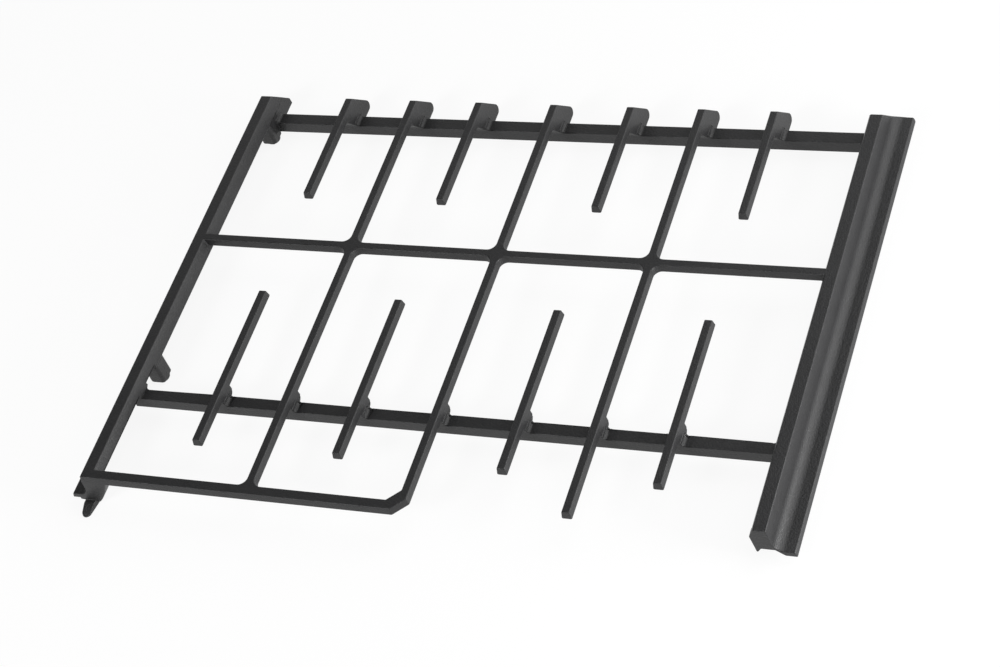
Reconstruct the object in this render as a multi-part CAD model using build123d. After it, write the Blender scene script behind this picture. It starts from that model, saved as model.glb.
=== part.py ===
"""Hob pan support: one iron casting that carries pans over two burners side by side."""
import os
from math import atan, degrees

from build123d import *

# Driving dimensions in millimetres. Depths run down from the pan plane, Y starts at the cross bar
height = 29.0
burner_x = 106.4
grid_shift = -1.1
finger_step = 50.35
finger_gap = 43.6
stub_front = 167.9
free_end = 194.6
bar_top = 5.2
bar_wide = 6.8
bar_part = 5.4
bar_depth = 8.1
bar_under = 1.4
cross_round = 5.0
patch_lap = 0.5
loop_front = 204.6
loop_top = 6.6
loop_cut = 9.0
loop_cut_inner = 7.5

# Rails along the two short sides: flat top, inner slope, outer cove and lip
rail_in = 220.5
rail_top = 8.1
rail_slope = 2.0
rail_slope_depth = 4.4
rail_part_out = 3.4
rail_part = 9.2
rail_part_front = 7.0
rail_under = 1.0
cove_lean = 2.1
cove_depth = 19.3
cove_round = 7.0
lip_wide = 11.8
lip_fall = 0.5
lip_flare = 1.1
lip_thick = 3.8
lip_root = 5.5
wall = 4.0
rail_front_right = 193.8
end_wall = 6.0
spike_depth = 22.3
spike_lean = 1.8
spike_wide = 1.0
spike_flank = 2.3
arch_depth = 18.9

# Lower bars that carry the bars and fingers
front_bar_y = -129.1
front_bar_top = 8.4
front_bar_drop = 9.75
front_bar_depth = 18.0
front_bar_round = 4.4
rail_corner_round = 3.6
web_depth = 1.4
web_tuck = 0.4
back_bar_inset = 6.85
back_bar_top = 9.5
back_bar_drop = 15.6
back_bar_depth = 24.3
bar_flare = 0.4
seat_round = 2.6

# Sloping back ends, feet and the locating tongue
back_edge = 132.7
back_slope = 0.856
leg_depth = 21.2
leg_round = 4.0
leg_ramp = 5.0
rail_end_depth = 25.4
heel_inset = 0.5
heel_lean = 1.2
foot_front_y = -100.8
foot_back_inset = 16.1
foot_in = 1.3
foot_wide = 11.4
foot_long = 12.4
foot_round = 2.4
foot_depth = 27.0
foot_edge = 1.0
stud_wide = 10.4
stud_in = 1.9
stud_edge = 1.8
gusset_set = 0.8
gusset_reach = 6.4
gusset_bow = 1.6
gusset_thick = 8.0
gusset_depth = 25.4
tongue_set = 4.2
tongue_out = 11.5
tongue_wide = 9.4
tongue_tip_round = 3.3
tongue_thick = 4.4
tongue_lap = 1.8
tongue_nose = 8.5
tongue_edge = 0.8
cut_spare = 5.0

# Derived dimensions
draft_out = (bar_wide - bar_top) / 2
draft = draft_out / bar_part
half = bar_wide / 2
draft_down = degrees(atan((half - bar_under / 2) / (bar_depth - bar_part)))
long_x = [grid_shift + s * burner_x for s in (-1, 0, 1)]
short_x = [grid_shift + s * burner_x + t * finger_step for s in (-1, 1) for t in (-1, 1)]
bar_x = long_x + short_x
rail_out = rail_in + rail_top
rail_mid = rail_in + rail_top / 2
inner_edge = rail_in - rail_part_out
cove_foot = rail_out + cove_lean
lip_out = cove_foot + lip_wide
lip_depth = cove_depth + lip_fall + lip_thick
front_rear = front_bar_y + front_bar_top / 2
front_fore = front_bar_y - front_bar_top / 2
back_rear = back_edge - back_bar_inset + back_bar_top / 2
back_fore = back_rear - back_bar_top
loop_low = -loop_front - draft_out
loop_high = -loop_front + loop_top + draft_out


def side(depth):
    """Half the width of a drafted bar, leg or post at a depth."""
    return bar_top / 2 + draft * depth


def plan(x0, x1, y0, y1):
    """Rectangle in plan between two corners."""
    return Pos((x0 + x1) / 2, (y0 + y1) / 2) * Rectangle(abs(x1 - x0), abs(y1 - y0))


def round_in(x, y, sx, sy, radius):
    """Patch that rounds an inside corner at x, y; sx and sy point out into the open."""
    square = plan(x - sx * patch_lap, x + sx * radius, y - sy * patch_lap, y + sy * radius)
    return square - Pos(x + sx * radius, y + sy * radius) * Circle(radius)


def outline(points):
    """Face with straight sides from pairs of place and depth."""
    return make_face(Polyline(*[(p, height - d) for p, d in points], close=True))


def rounded(face, place, depth, radius):
    """The face with one corner rounded."""
    corner = [v for v in face.vertices() if abs(v.X - place) + abs(v.Y - height + depth) < 0.01]
    return fillet(corner, radius)


def across(face, y0, y1):
    """Solid with an outline in X and depth, running from y0 to y1."""
    return Pos(0, y1, 0) * extrude(Plane.XZ * face, amount=y1 - y0)


def along(face, x0, x1):
    """Solid with an outline in Y and depth, running from x0 to x1."""
    return Pos(x0, 0, 0) * extrude(Plane.YZ * face, amount=x1 - x0)


def slab(sketch, top, bottom):
    """Plan sketch made solid between two depths."""
    return extrude(Pos(0, 0, height - bottom) * sketch, amount=bottom - top)


# Bars at the pan plane, drawn at their parting line: cross bar, long bars, fingers and front loop
grid = plan(-rail_mid, rail_mid, -half, half)
grid += plan(-rail_mid, grid_shift + half, loop_low, loop_high)
for x, front in zip(long_x, (loop_front, loop_front, free_end + draft_out)):
    grid += plan(x - half, x + half, -front, back_fore)
    for sx in (-1, 1):
        for sy in (-1, 1):
            grid += round_in(x + sx * half, sy * half, sx, sy, cross_round)
for sx in (-1, 1):
    grid += round_in(long_x[0] + sx * half, loop_high, sx, 1, cross_round)
for x in short_x:
    grid += plan(x - half, x + half, finger_gap - draft_out, back_fore)
    grid += plan(x - half, x + half, -stub_front - draft_out, -finger_gap + draft_out)

# Loop corner, cut at 45 degrees inside and out
inner = make_face(Polyline((0, 0), (0, loop_cut_inner), (-loop_cut_inner, 0), close=True))
outer = make_face(Polyline((0, 0), (0, loop_cut), (-loop_cut, 0), close=True))
grid += Pos(grid_shift - half, loop_high) * inner
grid -= Pos(grid_shift + half, loop_low) * outer
at_part = Pos(0, 0, height - bar_part) * grid
support = extrude(at_part, amount=bar_part, taper=degrees(atan(draft)))
support += extrude(at_part, amount=bar_depth - bar_part, dir=(0, 0, -1), taper=draft_down)

# Stand under every bar: a post on the front lower bar and a sloping leg on the back one
post_depth = front_bar_drop + web_depth
post_rear = front_rear + front_bar_round + web_depth
post_shape = [(front_fore, bar_part), (post_rear, bar_part), (post_rear, bar_depth)]
post_shape += [(front_rear + front_bar_round / 2, post_depth), (front_fore, post_depth)]
heel = back_edge + back_slope * leg_depth
leg_shape = [(back_fore - leg_ramp, 0), (back_edge, 0), (heel, leg_depth), (back_fore, leg_depth)]
leg_shape += [(back_fore, back_bar_drop), (back_fore - leg_ramp, bar_depth)]
leg_face = rounded(outline(leg_shape), heel, leg_depth, leg_round)
body_points = [(-side(0), 0), (side(0), 0), (side(leg_depth), leg_depth), (-side(leg_depth), leg_depth)]
body = across(outline(body_points), front_fore - cut_spare, heel + cut_spare)
stand = body & (along(outline(post_shape), -bar_wide, bar_wide) + along(leg_face, -bar_wide, bar_wide))

# Rounded corners of the stand: seats on both lower bars and a falling web behind the front one
corners = Part()
for drop, y0, y1 in ((front_bar_drop, front_fore, front_rear), (back_bar_drop, back_fore, back_rear)):
    corners += across(round_in(side(drop), height - drop, 1, 1, seat_round), y0, y1)
reach = side(front_bar_drop) + front_bar_round
falling = [(0, bar_depth), (half, bar_depth), (reach, front_bar_drop), (reach, post_depth), (0, post_depth)]
web_x = side(front_bar_drop) - web_tuck
corner_web = slab(round_in(web_x, front_rear - web_tuck, 1, 1, front_bar_round), bar_depth, post_depth)
corners += corner_web & across(outline(falling), front_fore, front_rear + front_bar_round + cut_spare)
stand += [corners, mirror(corners, about=Plane.YZ)]
support += [Pos(x, 0, 0) * stand for x in bar_x]

# Front and back lower bars
front_section = [(front_fore, front_bar_drop), (front_rear, front_bar_drop)]
front_section += [(front_rear + bar_flare, front_bar_depth), (front_fore - bar_flare, front_bar_depth)]
back_section = [(back_fore, back_bar_drop), (back_rear, back_bar_drop)]
back_section += [(back_rear + bar_flare, back_bar_depth), (back_fore - bar_flare, back_bar_depth)]
support += [along(outline(section), -rail_mid, rail_mid) for section in (front_section, back_section)]

# Outline that gives the rails the same back slope as the legs, and the left rail its front
rail_heel = back_edge + back_slope * rail_end_depth
ends = [(loop_low + 2 * draft_out, -bar_part), (back_edge - back_slope * bar_part, -bar_part)]
ends += [(rail_heel, rail_end_depth), (loop_low, rail_end_depth), (loop_low, bar_part)]
ends_face = rounded(outline(ends), rail_heel, rail_end_depth, leg_round)
ends_body = along(ends_face, -lip_out - cut_spare, lip_out + cut_spare)

# Rail section on the right: a bar with a cove wall and a lip hanging from it
rail_points = [(rail_in, 0), (rail_out, 0), (cove_foot, cove_depth), (lip_out, cove_depth + lip_fall)]
rail_points += [(lip_out + lip_flare, lip_depth), (cove_foot + lip_root, lip_depth), (cove_foot, arch_depth)]
rail_points += [(cove_foot - wall, arch_depth - wall), (cove_foot - wall, rail_part + rail_under)]
rail_points += [(inner_edge + rail_under, rail_part + rail_under), (inner_edge, rail_part)]
rail_points += [(rail_in - rail_slope, rail_slope_depth)]
rail_face = rounded(outline(rail_points), cove_foot, cove_depth, cove_round)
relief_low = rail_part + 2 * rail_under
relief = [(inner_edge - wall, rail_part_front), (inner_edge + rail_under, rail_part_front)]
relief += [(inner_edge + wall, relief_low), (inner_edge - wall, relief_low)]
heel_in = inner_edge + heel_inset
heel_points = [(heel_in, rail_part), (heel_in - heel_lean, leg_depth)]
heel_points += [(rail_mid, leg_depth), (rail_mid, rail_part)]


def rail(front):
    """Right-hand rail from its front end to the sloping back, with its heel on the back lower bar."""
    body = across(rail_face, -front, rail_heel + cut_spare)
    body -= across(outline(relief), -front, front_fore)
    body -= across(outline(relief), front_rear + rail_corner_round, foot_front_y - foot_long / 2)
    body += across(outline(heel_points), back_fore - leg_ramp, heel - leg_round)
    seat_x = heel_in - heel_lean * (back_bar_drop - rail_part) / (leg_depth - rail_part)
    return body + across(round_in(seat_x, height - back_bar_drop, -1, 1, seat_round), back_fore, back_rear)


# Wall across the front end of the right rail, with a spike inside and an arch below
spike_x = inner_edge + spike_lean
end_points = [(inner_edge, rail_part_front), (spike_x, spike_depth), (spike_x + spike_wide, spike_depth)]
end_points += [(spike_x + spike_wide + spike_flank, arch_depth), (cove_foot, arch_depth), (rail_out, bar_part)]
end_points += [(rail_in, bar_part)]
end_piece = across(outline(end_points), -rail_front_right, -rail_front_right + end_wall)
rails = rail(rail_front_right) + end_piece + mirror(rail(-loop_low), about=Plane.YZ)
support += rails & ends_body

# Rounded corners where the front lower bar meets the rails
for sx in (-1, 1):
    corner_x = sx * (inner_edge + rail_under)
    web = plan(corner_x, sx * rail_mid, front_fore, front_rear + rail_corner_round)
    web += round_in(corner_x, front_rear, -sx, 1, rail_corner_round)
    support += slab(web, front_bar_drop, post_depth)

# Feet under the rails: a rounded block with a round stud at its inner end
block = slab(RectangleRounded(foot_wide, foot_long, foot_round), rail_part + rail_under / 2, foot_depth)
block = fillet(block.edges().group_by(Axis.Z)[0], foot_edge)
stud = slab(Circle(stud_wide / 2), arch_depth, height)
stud = fillet(stud.edges().group_by(Axis.Z)[0], stud_edge)
foot = Pos(-foot_in, 0, 0) * block + Pos(-stud_in, 0, 0) * stud
for y in (foot_front_y, back_edge - foot_back_inset):
    placed = Pos(rail_mid, y, 0) * foot
    support += [placed, mirror(placed, about=Plane.YZ)]

# Front left corner: a gusset that sweeps down from the loop to a rounded locating tongue
toe_x = -inner_edge - gusset_set
toe_depth = height - tongue_thick + tongue_lap
crest = (toe_x + gusset_reach, height - bar_part)
toe = (toe_x - gusset_reach, height - toe_depth)
sweep = ThreePointArc(crest, (toe_x + gusset_bow, (crest[1] + toe[1]) / 2), toe)
rim = lip_depth - rail_under
rest = [(-lip_out + wall, gusset_depth), (-lip_out + wall, rim), (-cove_foot - wall, cove_depth + rail_under)]
rest += [(-cove_foot, arch_depth - wall / 2), (-rail_out, bar_part)]
edges = Polyline(toe, *[(x, height - d) for x, d in rest], crest)
support += across(make_face(sweep + edges), loop_low, loop_low + gusset_thick)
left_x = -cove_foot - tongue_set
root = loop_low + gusset_thick
tip_y = loop_low - tongue_out
round_y = tip_y + tongue_tip_round
right_x = left_x + 2 * tongue_tip_round
flanks = [(left_x, round_y), (left_x, root), (left_x + tongue_wide, root), (right_x, round_y)]
tongue = make_face(Polyline(*flanks, close=True))
tongue += Pos(left_x + tongue_tip_round, round_y) * Circle(tongue_tip_round)
tongue_top = height - tongue_thick
nose = [(root, height), (root, tongue_top), (tip_y + tongue_nose, tongue_top), (tip_y, height - tongue_edge)]
support += extrude(tongue, amount=tongue_thick) & along(outline(nose + [(tip_y, height)]), -lip_out, toe_x)

# Origin below the middle of the part
box = support.bounding_box()
support = Pos(0, -(box.min.Y + box.max.Y) / 2, 0) * support
support.label = "pan_support"

os.makedirs("parts", exist_ok=True)
export_step(support, "parts/pan_support.step")
print("box", support.bounding_box(), "solids", len(support.solids()), "volume", round(support.volume))
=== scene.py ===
import math

import bmesh
import bpy
from bpy.props import FloatProperty, FloatVectorProperty, IntProperty, PointerProperty
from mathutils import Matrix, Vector


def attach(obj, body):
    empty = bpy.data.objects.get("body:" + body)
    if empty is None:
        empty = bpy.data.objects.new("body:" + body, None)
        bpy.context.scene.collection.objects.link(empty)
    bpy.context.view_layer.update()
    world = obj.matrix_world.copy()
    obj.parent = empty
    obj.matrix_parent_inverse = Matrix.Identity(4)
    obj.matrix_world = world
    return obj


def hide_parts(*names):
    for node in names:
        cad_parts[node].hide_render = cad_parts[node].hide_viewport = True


bl_info = {
    "name": "Hob Pan Support",
    "version": (1, 0, 0),
    "blender": (4, 5, 0),
    "location": "3D View > Sidebar > Pan Support",
    "description": "Dresses the cast pan support of a gas hob and sets its studio stage",
    "category": "Object",
}

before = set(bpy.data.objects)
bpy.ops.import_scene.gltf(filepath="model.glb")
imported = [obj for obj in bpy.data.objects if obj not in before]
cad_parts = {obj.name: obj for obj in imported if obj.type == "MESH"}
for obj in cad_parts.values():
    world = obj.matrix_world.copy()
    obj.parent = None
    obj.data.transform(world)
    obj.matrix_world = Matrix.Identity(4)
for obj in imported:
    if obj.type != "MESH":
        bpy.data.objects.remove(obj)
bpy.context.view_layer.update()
MM = 0.001
WHITE = (1.0, 1.0, 1.0, 1.0)
ENAMEL_IOR = 1.5
FLOOR_SIDES = 96
SENSOR_MM = 36.0
NEAREST_VIEW = 10 * MM

# Soft boxes: name, the setting that holds the power, side and place in metres
LAMPS = (
    ("right_light", "right_power", 0.36, (0.95, -0.15, 0.2)),
    ("top_light", "top_power", 1.2, (0.82, 0.64, 1.47)),
    ("corner_light", "corner_power", 1.2, (1.35, 1.0, 0.64)),
    ("left_light", "left_power", 1.2, (-1.1, 1.2, 0.77)),
    ("back_light", "back_power", 1.2, (0, 1.66, 0.69)),
    ("front_light", "front_power", 0.6, (-0.7, -1.3, 1.0)),
)


def linear(code):
    """Linear colour of an sRGB hex code."""
    shares = [int(code[i:i + 2], 16) / 255 for i in (1, 3, 5)]
    return tuple(c / 12.92 if c <= 0.04045 else ((c + 0.055) / 1.055) ** 2.4 for c in shares)


def add_node(tree, kind, links=None, **settings):
    """Adds a node; settings name its properties or input sockets, links maps an input to an output."""
    node = tree.nodes.new(kind)
    for key, value in settings.items():
        if hasattr(node, key):
            setattr(node, key, value)
    for key, value in settings.items():
        if not hasattr(node, key):
            node.inputs[key.replace("_", " ")].default_value = value
    for key, output in (links or {}).items():
        tree.links.new(output, node.inputs[key])
    return node


def alone(obj):
    """Selects one object and makes it the active one."""
    bpy.ops.object.select_all(action="DESELECT")
    obj.select_set(True)
    bpy.context.view_layer.objects.active = obj


def new_material(name):
    """Empty node material and its tree."""
    material = bpy.data.materials.new(name)
    material.use_nodes = True
    material.node_tree.nodes.clear()
    return material, material.node_tree


def lamp_power(name, box, watts):
    """Setting for the power of one soft box."""
    return FloatProperty(name=name, description=f"Power of the {box}", default=watts, min=0.0, unit="POWER")


class CastingSettings(bpy.types.PropertyGroup):
    """Sizes and colours of the casting."""

    join_gap: FloatProperty(
        name="Join gap", description="Points of the solid's mesh nearer than this become one",
        default=0.3 * MM, min=0.0, unit="LENGTH")
    sliver: FloatProperty(
        name="Sliver", description="Edges shorter than this are taken out",
        default=0.05 * MM, min=0.0, unit="LENGTH")
    flat_angle: FloatProperty(
        name="Flat angle", description="Facets that turn less than this become one face",
        default=math.radians(0.6), subtype="ANGLE")
    edge_round: FloatProperty(
        name="Edge rounding", description="Width of the rounding along edges and inside corners",
        default=0.55 * MM, min=0.1 * MM, unit="LENGTH")
    edge_steps: IntProperty(
        name="Rounding steps", description="Strips in the rounding of an edge", default=3, min=1)
    edge_angle: FloatProperty(
        name="Edge angle", description="Turn between two faces above which their edge is rounded",
        default=math.radians(26), subtype="ANGLE")
    narrow_corner: FloatProperty(
        name="Narrow corner", description="Corner of a face below which its two edges stay sharp",
        default=math.radians(28), subtype="ANGLE")
    flat_weight: IntProperty(
        name="Flatness", description="How strongly the large faces keep their shading flat",
        default=90, min=1, max=100)
    enamel_dark: FloatVectorProperty(
        name="Enamel", description="Colour of the enamel where it lies thick",
        default=linear("#171718"), size=3, subtype="COLOR")
    enamel_light: FloatVectorProperty(
        name="Enamel, thin", description="Colour of the enamel where the cast grain stands through",
        default=linear("#202021"), size=3, subtype="COLOR")
    grain: FloatProperty(
        name="Cast grain", description="Width of one grain of the sand mould",
        default=1.1 * MM, min=0.1 * MM, unit="LENGTH")
    grain_depth: FloatProperty(
        name="Grain depth", description="How far the grain stands up",
        default=0.3 * MM, min=0.0, unit="LENGTH")
    cloud: FloatProperty(
        name="Enamel clouds", description="Width of the patches where the enamel is thicker or thinner",
        default=14 * MM, min=1 * MM, unit="LENGTH")
    roughness: FloatProperty(
        name="Roughness", description="Roughness of the matt enamel",
        default=0.48, min=0.0, max=1.0, subtype="FACTOR")
    sheen_spread: FloatProperty(
        name="Sheen spread", description="How far the roughness goes up and down with the grain",
        default=0.08, min=0.0, max=0.4, subtype="FACTOR")


class StageSettings(bpy.types.PropertyGroup):
    """Floor, light and camera."""

    floor_radius: FloatProperty(
        name="Floor radius", description="Radius of the round floor", default=12.0, min=1.0, unit="LENGTH")
    floor_colour: FloatVectorProperty(
        name="Floor", description="Colour of the floor", default=linear("#f2f2f2"), size=3, subtype="COLOR")
    floor_glow: FloatProperty(
        name="Floor white", description="Share of plain white in the floor that the eye and reflections see",
        default=0.9, min=0.0, max=1.0, subtype="FACTOR")
    right_power: lamp_power("Right light", "small soft box low at the right", 11.5)
    top_power: lamp_power("Top light", "large soft box high behind the right side", 13.0)
    corner_power: lamp_power("Corner light", "large soft box low behind the right side", 11.0)
    left_power: lamp_power("Left light", "large soft box behind the left side", 2.8)
    back_power: lamp_power("Back light", "large soft box low behind", 4.0)
    front_power: lamp_power("Front light", "small soft box at the front left", 18.0)
    sky: FloatProperty(
        name="Room light", description="Strength of the even light of the room", default=0.05, min=0.0)
    camera_place: FloatVectorProperty(
        name="Camera place", description="Where the camera stands", default=(0.62986, -0.88458, 1.16197), size=3,
        subtype="TRANSLATION", unit="LENGTH")
    camera_turn: FloatVectorProperty(
        name="Camera turn", description="Turn of the camera", size=3, subtype="EULER",
        default=[math.radians(a) for a in (40.2593, 15.7586, 17.6963)])
    camera_lens: FloatProperty(
        name="Lens", description="Focal length on a sensor 36 mm wide", default=87.557, min=1.0)


def select_edges(mesh, turn, narrow):
    """Selects the edges that turn by more than an angle, but for those that meet in a narrow corner."""
    bm = bmesh.from_edit_mesh(mesh)
    edges = {edge for edge in bm.edges if edge.calc_face_angle(0.0) > turn}
    for face in bm.faces:
        for loop in face.loops:
            sides = {loop.edge, loop.link_loop_prev.edge}
            if sides <= edges and loop.calc_angle() < narrow:
                edges -= sides
    bpy.ops.mesh.select_all(action="DESELECT")
    for edge in edges:
        edge.select_set(True)
    bmesh.update_edit_mesh(mesh)


class PANSUPPORT_OT_casting(bpy.types.Operator):
    """Lays the cast skin over the solid and gives it its enamel"""

    bl_idname = "pan_support.casting"
    bl_label = "Casting"

    def execute(self, context):
        sizes = context.scene.casting_settings
        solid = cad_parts["pan_support"]
        mesh = solid.data.copy()
        skin = bpy.data.objects.new("cast_skin", mesh)
        context.collection.objects.link(skin)
        alone(skin)

        # A sand casting has few sharp edges: facets become whole faces, and all edges
        # but the slight ones and those in narrow corners are rounded
        bpy.ops.object.mode_set(mode="EDIT")
        bpy.ops.mesh.select_all(action="SELECT")
        bpy.ops.mesh.remove_doubles(threshold=sizes.join_gap)
        bpy.ops.mesh.dissolve_degenerate(threshold=sizes.sliver)
        bpy.ops.mesh.dissolve_limited(angle_limit=sizes.flat_angle)
        select_edges(mesh, sizes.edge_angle, sizes.narrow_corner)
        bpy.ops.mesh.bevel(offset=sizes.edge_round, segments=sizes.edge_steps, clamp_overlap=False)
        bpy.ops.object.mode_set(mode="OBJECT")
        bpy.ops.object.shade_smooth()
        flats = skin.modifiers.new("flats", "WEIGHTED_NORMAL")
        flats.weight = sizes.flat_weight
        bpy.ops.object.modifier_apply(modifier=flats.name)

        skin.data.materials.clear()
        skin.data.materials.append(black_enamel(sizes))
        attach(skin, "root")
        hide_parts("pan_support")
        return {"FINISHED"}


def black_enamel(sizes):
    """Matt black enamel fired on sand-cast iron: near black, a soft sheen, a fine pebbled grain."""
    material, tree = new_material("matt_black_enamel_on_cast_iron")
    place = add_node(tree, "ShaderNodeTexCoord").outputs["Object"]
    clouds = add_node(tree, "ShaderNodeTexNoise", {"Vector": place}, Scale=1 / sizes.cloud, Detail=3.0)
    grain = add_node(
        tree, "ShaderNodeTexNoise", {"Vector": place}, Scale=1 / sizes.grain, Detail=2.0, Roughness=0.6)
    tone = add_node(tree, "ShaderNodeMix", {"Factor": clouds.outputs["Fac"]}, data_type="RGBA")
    tone.inputs["A"].default_value = (*sizes.enamel_dark, 1.0)
    tone.inputs["B"].default_value = (*sizes.enamel_light, 1.0)
    sheen = add_node(tree, "ShaderNodeMapRange", {"Value": grain.outputs["Fac"]})
    sheen.inputs["To Min"].default_value = sizes.roughness - sizes.sheen_spread
    sheen.inputs["To Max"].default_value = sizes.roughness + sizes.sheen_spread
    pebbles = add_node(
        tree, "ShaderNodeBump", {"Height": grain.outputs["Fac"]}, Strength=1.0, Distance=sizes.grain_depth)
    surface = {
        "Base Color": tone.outputs["Result"],
        "Roughness": sheen.outputs["Result"],
        "Normal": pebbles.outputs["Normal"],
    }
    shader = add_node(tree, "ShaderNodeBsdfPrincipled", surface, IOR=ENAMEL_IOR)
    add_node(tree, "ShaderNodeOutputMaterial", {"Surface": shader.outputs["BSDF"]})
    return material


def pale_floor(sizes):
    """Matt white paper floor: the eye and reflections see it white, and it keeps a soft shadow."""
    material, tree = new_material("matt_white_paper")
    ray = add_node(tree, "ShaderNodeLightPath").outputs
    seen = ray["Is Camera Ray"]
    for kind in ("Is Glossy Ray", "Is Transmission Ray"):
        seen = add_node(tree, "ShaderNodeMath", {0: seen, 1: ray[kind]}, operation="MAXIMUM").outputs[0]
    paper = add_node(tree, "ShaderNodeBsdfDiffuse")
    paper.inputs["Color"].default_value = (*sizes.floor_colour, 1.0)
    glow = add_node(tree, "ShaderNodeEmission", Strength=1.0)
    share = add_node(tree, "ShaderNodeMath", {0: seen}, operation="MULTIPLY")
    share.inputs[1].default_value = sizes.floor_glow
    mix = add_node(
        tree, "ShaderNodeMixShader", {0: share.outputs[0], 1: paper.outputs["BSDF"], 2: glow.outputs["Emission"]})
    add_node(tree, "ShaderNodeOutputMaterial", {"Surface": mix.outputs["Shader"]})
    return material


def room_light(strength):
    """World that is an even dim room all round."""
    world = bpy.data.worlds.new("dim_room")
    world.use_nodes = True
    tree = world.node_tree
    tree.nodes.clear()
    room = add_node(tree, "ShaderNodeBackground", Strength=strength)
    room.inputs["Color"].default_value = WHITE
    add_node(tree, "ShaderNodeOutputWorld", {"Surface": room.outputs["Background"]})
    bpy.context.scene.world = world


def soft_light(name, power, size, place):
    """Square soft box at a place, turned to the object."""
    bpy.ops.object.light_add(type="AREA", location=place)
    lamp = bpy.context.active_object
    lamp.name = name
    lamp.data.energy = power
    lamp.data.size = size
    lamp.rotation_euler = (-Vector(place)).to_track_quat("-Z", "Y").to_euler()


class PANSUPPORT_OT_stage(bpy.types.Operator):
    """Sets the floor, the soft light and the camera"""

    bl_idname = "pan_support.stage"
    bl_label = "Stage"

    def execute(self, context):
        sizes = context.scene.stage_settings
        bpy.ops.object.select_all(action="DESELECT")
        bpy.ops.mesh.primitive_circle_add(vertices=FLOOR_SIDES, radius=sizes.floor_radius, fill_type="NGON")
        floor = context.active_object
        floor.name = "paper_floor"
        floor.data.materials.append(pale_floor(sizes))
        room_light(sizes.sky)
        for name, key, side, place in LAMPS:
            soft_light(name, getattr(sizes, key), side, place)
        bpy.ops.object.camera_add(location=sizes.camera_place, rotation=sizes.camera_turn)
        camera = context.active_object
        camera.name = "photo_camera"
        camera.data.sensor_width = SENSOR_MM
        camera.data.lens = sizes.camera_lens
        camera.data.clip_start = NEAREST_VIEW
        context.scene.camera = camera
        context.scene.view_settings.view_transform = "Standard"
        return {"FINISHED"}


class PANSUPPORT_PT_panel(bpy.types.Panel):
    """Sizes, colours and makers of the pan support"""

    bl_idname = "PANSUPPORT_PT_panel"
    bl_label = "Pan Support"
    bl_space_type = "VIEW_3D"
    bl_region_type = "UI"
    bl_category = "Pan Support"

    def draw(self, context):
        for settings, maker in ((context.scene.casting_settings, PANSUPPORT_OT_casting),
                                (context.scene.stage_settings, PANSUPPORT_OT_stage)):
            box = self.layout.box()
            for name in settings.__annotations__:
                box.prop(settings, name)
            box.operator(maker.bl_idname)


CLASSES = (CastingSettings, StageSettings, PANSUPPORT_OT_casting, PANSUPPORT_OT_stage, PANSUPPORT_PT_panel)


def register():
    for cls in CLASSES:
        bpy.utils.register_class(cls)
    bpy.types.Scene.casting_settings = PointerProperty(type=CastingSettings)
    bpy.types.Scene.stage_settings = PointerProperty(type=StageSettings)


def unregister():
    del bpy.types.Scene.stage_settings
    del bpy.types.Scene.casting_settings
    for cls in reversed(CLASSES):
        bpy.utils.unregister_class(cls)


def main():
    register()
    bpy.ops.pan_support.casting()
    bpy.ops.pan_support.stage()


if __name__ == "__main__":
    main()
